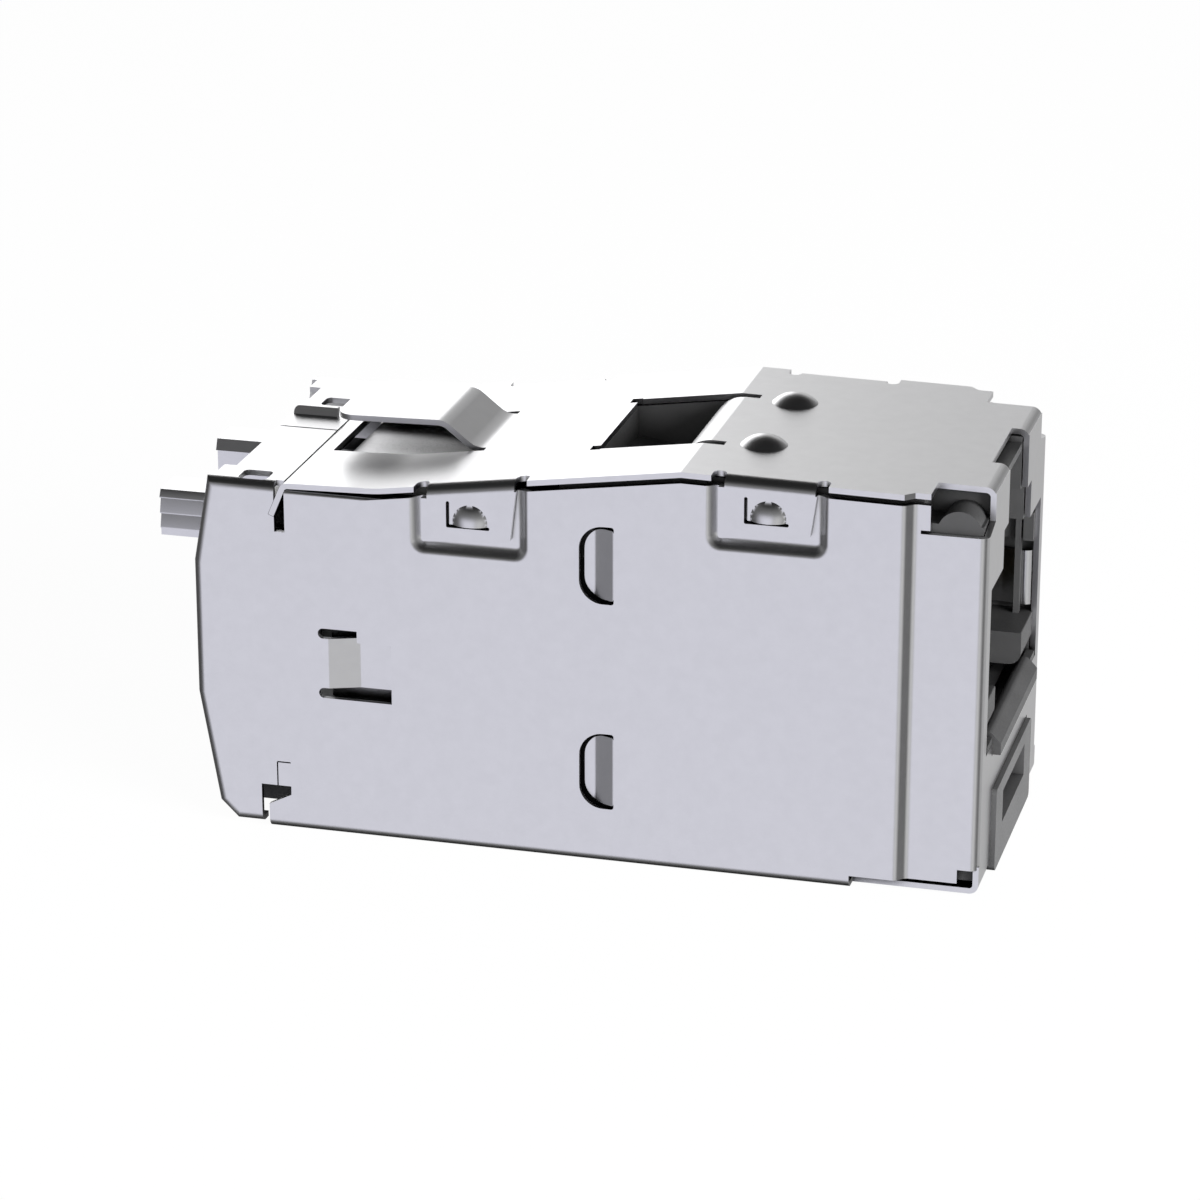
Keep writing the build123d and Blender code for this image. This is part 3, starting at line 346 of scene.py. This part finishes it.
# %% Give out the finishes
finishes = {
    "shield_shell": (plated_sheet, "shield_metal"),
    "port_housing": (housing_plastic, "dark_plastic"),
    "window_frame": (frame_plastic, "dark_plastic"),
    "contact_comb": (block_plastic, "dark_plastic"),
    "circuit_board": (solder_mask, "board"),
    "terminal_block": (block_plastic, "dark_plastic"),
    "wire_manager": (cradle_plastic, "grey_plastic"),
    "rear_cap": (cast_zinc, "cast_metal"),
    "cable_cradle": (cradle_plastic, "grey_plastic"),
    "ground_spring_near": (spring_steel, "spring_metal"),
    "ground_spring_far": (spring_steel, "spring_metal"),
}
finishes |= {f"spring_contact_{n}": (gold_plate, "contact_metal") for n in range(1, 9)}
finishes |= {f"forked_terminal_{n}": (tin_plate, "terminal_metal") for n in range(1, 9)}
flat_nodes = {"circuit_board", "terminal_block", "contact_comb"}
flat_nodes |= {f"forked_terminal_{n}" for n in range(1, 9)}

for node, (material, slot) in finishes.items():
    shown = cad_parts[node] if node in flat_nodes else welded(node, f"{node}_smooth")
    shown.data.materials.clear()
    shown.data.materials.append(material)
print("dressed nodes:", len(finishes))

# %% [markdown]
# ## What the metal reflects
# A plated sheet looks like its surroundings. The studio is a sky whose brightness depends on direction:
# pale low down, white behind the jack, dim overhead, so that each flat side has one even tone and each
# bend a dark line. The camera itself sees plain white.

# %% Build the studio sky
world = bpy.data.worlds.new("studio")
bpy.context.scene.world = world
world.use_nodes = True
sky = world.node_tree
sky.nodes.clear()
direction = add(sky, "ShaderNodeTexCoord").outputs["Generated"]
parts = add(sky, "ShaderNodeSeparateXYZ", Vector=direction)
turn = add(sky, "ShaderNodeMath", {"operation": "ARCTAN2"}, _0=parts.outputs["X"], _1=parts.outputs["Y"])
round_share = add(
    sky, "ShaderNodeMapRange", Value=turn.outputs[0], From_Min=-math.pi, From_Max=math.pi
).outputs["Result"]


def ring(stops):
    """A band of the sky: tones at bearings in degrees, where 0 is +Y and 90 is +X."""
    ramp = add(sky, "ShaderNodeValToRGB", Fac=round_share)
    ramp.color_ramp.interpolation = "LINEAR"
    elements = ramp.color_ramp.elements
    while len(elements) > 1:
        elements.remove(elements[-1])
    for index, (bearing, tone) in enumerate(stops):
        place = (bearing + 180) / 360
        element = elements[0] if index == 0 else elements.new(place)
        element.position = place
        element.color = (*(tone if isinstance(tone, tuple) else (tone, tone, tone)), 1.0)
    return ramp.outputs["Color"]


def srgb(tone):
    """Light that shows as this grey level in the finished picture."""
    return ((tone + 0.055) / 1.055) ** 2.4


LAVENDER = (srgb(0.88), srgb(0.88), srgb(0.92))
low_ring = ring(
    [
        (-180, LAVENDER),
        (-146, LAVENDER),
        (-118, srgb(0.30)),
        (-60, srgb(0.25)),
        (-35, srgb(0.55)),
        (0, srgb(0.75)),
        (30, srgb(0.74)),
        (48, srgb(0.60)),
        (70, srgb(0.72)),
        (85, srgb(0.60)),
        (100, srgb(0.28)),
        (118, srgb(0.45)),
        (135, srgb(0.78)),
        (150, srgb(0.84)),
        (163, srgb(0.66)),
        (172, LAVENDER),
        (180, LAVENDER),
    ]
)
high_ring = ring(
    [
        (-180, srgb(0.45)),
        (-120, srgb(0.35)),
        (-75, srgb(0.60)),
        (-45, 2.0),
        (-18, 1.9),
        (-12, srgb(0.86)),
        (5, srgb(0.80)),
        (20, srgb(0.50)),
        (60, srgb(0.45)),
        (120, srgb(0.45)),
        (180, srgb(0.45)),
    ]
)


def blend_by_height(below, above, start, end):
    """Changes from one tone to another as a direction rises from start to end."""
    share = add(
        sky,
        "ShaderNodeMapRange",
        {"interpolation_type": "SMOOTHSTEP"},
        Value=parts.outputs["Z"],
        From_Min=start,
        From_Max=end,
    )
    mixed = add(sky, "ShaderNodeMix", {"data_type": "RGBA"}, Factor=share.outputs["Result"])
    for index, tone in ((6, below), (7, above)):
        if isinstance(tone, bpy.types.NodeSocket):
            sky.links.new(tone, mixed.inputs[index])
        else:
            mixed.inputs[index].default_value = (tone, tone, tone, 1.0)
    return mixed.outputs[2]


tones = blend_by_height(srgb(0.45), low_ring, -0.85, -0.55)
tones = blend_by_height(tones, high_ring, -0.12, 0.15)
tones = blend_by_height(tones, srgb(0.13), 0.32, 0.68)
seen = add(sky, "ShaderNodeLightPath")
lit = add(sky, "ShaderNodeBackground", Color=tones, Strength=1.0)
plain = add(sky, "ShaderNodeBackground", Color=(1.0, 1.0, 1.0, 1.0), Strength=1.0)
chosen = add(
    sky, "ShaderNodeMixShader", _0=seen.outputs["Is Camera Ray"], _1=lit.outputs[0], _2=plain.outputs[0]
)
add(sky, "ShaderNodeOutputWorld", Surface=chosen.outputs[0])
print("studio sky built")


# %% [markdown]
# ## Floor and lamps
# The floor is one large sheet at the jack's underside. The camera sees it almost white, so that only a
# trace of the shadow stays, and metal sees the sky through it. Wide area lamps give the plastics a soft
# light.


# %% Floor
FLOOR_HALF = 1.5
FLOOR_DROP = 2e-5
FLOOR_GLOW = 1.03
FLOOR_MATT = 0.06


def white_floor():
    """A floor that is nearly white to the camera, clear to reflections and matt to all other light."""
    material = bpy.data.materials.new("white_floor")
    material.use_nodes = True
    tree = material.node_tree
    tree.nodes.clear()
    rays = add(tree, "ShaderNodeLightPath")
    matt = add(tree, "ShaderNodeBsdfDiffuse", Color=(0.85, 0.85, 0.86, 1.0))
    glow = add(tree, "ShaderNodeEmission", Color=(1.0, 1.0, 1.0, 1.0), Strength=FLOOR_GLOW)
    clear = add(tree, "ShaderNodeBsdfTransparent")
    pale = add(tree, "ShaderNodeMixShader", _0=FLOOR_MATT, _1=glow.outputs[0], _2=matt.outputs[0])
    to_camera = add(
        tree, "ShaderNodeMixShader", _0=rays.outputs["Is Camera Ray"], _1=matt.outputs[0], _2=pale.outputs[0]
    )
    to_metal = add(
        tree,
        "ShaderNodeMixShader",
        _0=rays.outputs["Is Glossy Ray"],
        _1=to_camera.outputs[0],
        _2=clear.outputs[0],
    )
    add(tree, "ShaderNodeOutputMaterial", Surface=to_metal.outputs[0])
    return material


floor_mesh = bpy.data.meshes.new("floor")
floor_corners = [
    (x * FLOOR_HALF, y * FLOOR_HALF, -FLOOR_DROP) for x, y in ((-1, -1), (1, -1), (1, 1), (-1, 1))
]
floor_mesh.from_pydata(floor_corners, [], [(0, 1, 2, 3)])
floor = bpy.data.objects.new("floor", floor_mesh)
bpy.context.scene.collection.objects.link(floor)
floor_mesh.materials.append(white_floor())


# %% Lamps
LAMP_SIZE = 0.30


def lamp(name, place, watts):
    """A wide area lamp aimed at the jack's middle, left out of reflections."""
    light = bpy.data.lights.new(name, "AREA")
    light.energy, light.size = watts, LAMP_SIZE
    lamp_object = bpy.data.objects.new(name, light)
    bpy.context.scene.collection.objects.link(lamp_object)
    lamp_object.location = place
    lamp_object.rotation_mode = "QUATERNION"
    lamp_object.rotation_quaternion = (TARGET - Vector(place)).to_track_quat("-Z", "Y")
    lamp_object.visible_glossy = False


lamp("front", (0.42, -0.24, 0.11), 5.5)
lamp("side", (0.05, -0.45, 0.15), 0.6)
print("floor and lamps set")
